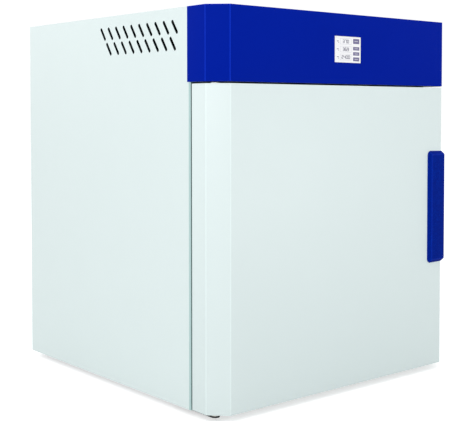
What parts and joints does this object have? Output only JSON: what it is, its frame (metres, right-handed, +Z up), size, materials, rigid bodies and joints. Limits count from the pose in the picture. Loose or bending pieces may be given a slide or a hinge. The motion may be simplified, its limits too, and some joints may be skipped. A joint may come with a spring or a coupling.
{
  "type": "laboratory incubator",
  "caption": "Bench-top heated cabinet with a side-hinged insulated door, blue touch-screen fascia, stainless chamber, inner glass door, wire shelves and circulation fan.",
  "frame": {"origin": "on the floor under the middle of the cabinet's box", "axes": "+Z up, -Y out of the front door, +X to the right seen from the front"},
  "size_m": [0.6252, 0.655, 0.712],
  "materials": {
    "white_paint": "satin",
    "blue_paint": "satin",
    "zinc_steel": "satin",
    "black_steel": "satin",
    "stainless": "satin",
    "shelf_wire": "polished",
    "glass_wool": "matte",
    "black_rubber": "matte",
    "grey_rubber": "matte",
    "white_silicone": "matte",
    "plated_screws": "polished",
    "heater_sheath": "matte",
    "cast_aluminium": "satin",
    "black_plastic": "matte",
    "brass": "polished",
    "circuit_board": "gloss",
    "grey_plastic": "matte",
    "blue_plastic": "satin",
    "bush_nylon": "matte",
    "clear_glass": "gloss",
    "display": "gloss"
  },
  "bodies": {
    "cabinet": {"left_side_panel": "white_paint", "right_side_panel": "white_paint", "top_panel": "white_paint", "rear_panel": "white_paint", "base_pan": "zinc_steel", "bulkhead": "zinc_steel", "face_frame": "white_paint", "fascia": "blue_paint", "electronics_tray": "zinc_steel", "chamber_liner": "stainless", "chamber_back": "stainless", "insulation_left": "glass_wool", "insulation_right": "glass_wool", "insulation_top": "glass_wool", "insulation_bottom": "glass_wool", "insulation_rear": "glass_wool", "foot_front_left": "black_rubber", "foot_front_right": "black_rubber", "foot_rear_left": "black_rubber", "foot_rear_right": "black_rubber", "rear_bumpers": "black_rubber", "casing_screws": "plated_screws", "duct_cover": "stainless", "heater_ring": "heater_sheath", "fan_motor": "black_plastic", "motor_bracket": "zinc_steel", "temperature_probe": "stainless", "uprights_left": "stainless", "uprights_right": "stainless", "runners_lower": "stainless", "runners_upper": "stainless", "glass_seal": "white_silicone", "glass_brackets": "stainless", "display_module": "circuit_board", "display_glass": "display", "control_board": "circuit_board", "power_supply": "zinc_steel", "solid_state_relay": "cast_aluminium", "terminal_block": "grey_plastic", "power_inlet": "black_plastic", "inlet_pins": "brass", "switch_housing": "black_plastic", "hinge_plate_upper": "black_steel", "hinge_plate_lower": "black_steel"},
    "door": {"door_skin": "white_paint", "door_inner_panel": "white_paint", "door_insulation": "glass_wool", "door_gasket": "grey_rubber", "handle": "blue_plastic", "handle_plate": "zinc_steel", "handle_screws": "plated_screws", "hinge_bush_upper": "bush_nylon", "hinge_bush_lower": "bush_nylon"},
    "inner_door": {"glass_pane": "clear_glass", "glass_straps": "stainless", "glass_knob": "black_plastic"},
    "fan": {"fan_impeller": "cast_aluminium"},
    "lower_shelf": {"shelf_lower": "shelf_wire"},
    "upper_shelf": {"shelf_upper": "shelf_wire"},
    "rocker": {"power_rocker": "black_plastic"}
  },
  "joints": [
    {"name": "door_hinge", "type": "hinge", "parent": "cabinet", "child": "door", "pos_m": [-0.293, -0.294, 0.296], "axis": [0, 0, -1], "range_deg": [0, 110]},
    {"name": "inner_door_hinge", "type": "hinge", "parent": "cabinet", "child": "inner_door", "pos_m": [-0.245, -0.253, 0.291], "axis": [0, 0, -1], "range_deg": [0, 88]},
    {"name": "lower_shelf_slide", "type": "slide", "parent": "cabinet", "child": "lower_shelf", "axis": [0, -1, 0], "range_m": [0, 0.11]},
    {"name": "upper_shelf_slide", "type": "slide", "parent": "cabinet", "child": "upper_shelf", "axis": [0, -1, 0], "range_m": [0, 0.11]},
    {"name": "fan_spin", "type": "hinge", "parent": "cabinet", "child": "fan", "pos_m": [0, 0.2, 0.291], "axis": [0, 1, 0], "continuous": true},
    {"name": "rocker_tilt", "type": "hinge", "parent": "cabinet", "child": "rocker", "pos_m": [0.14, 0.319, 0.64], "axis": [1, 0, 0], "range_deg": [0, 16]}
  ],
  "couplings": [
    {"joint": "inner_door_hinge", "follows": "door_hinge", "ratio": 0.8},
    {"joint": "lower_shelf_slide", "follows": "door_hinge", "m_per_rad": 0.0572},
    {"joint": "upper_shelf_slide", "follows": "door_hinge", "m_per_rad": 0.0572}
  ]
}
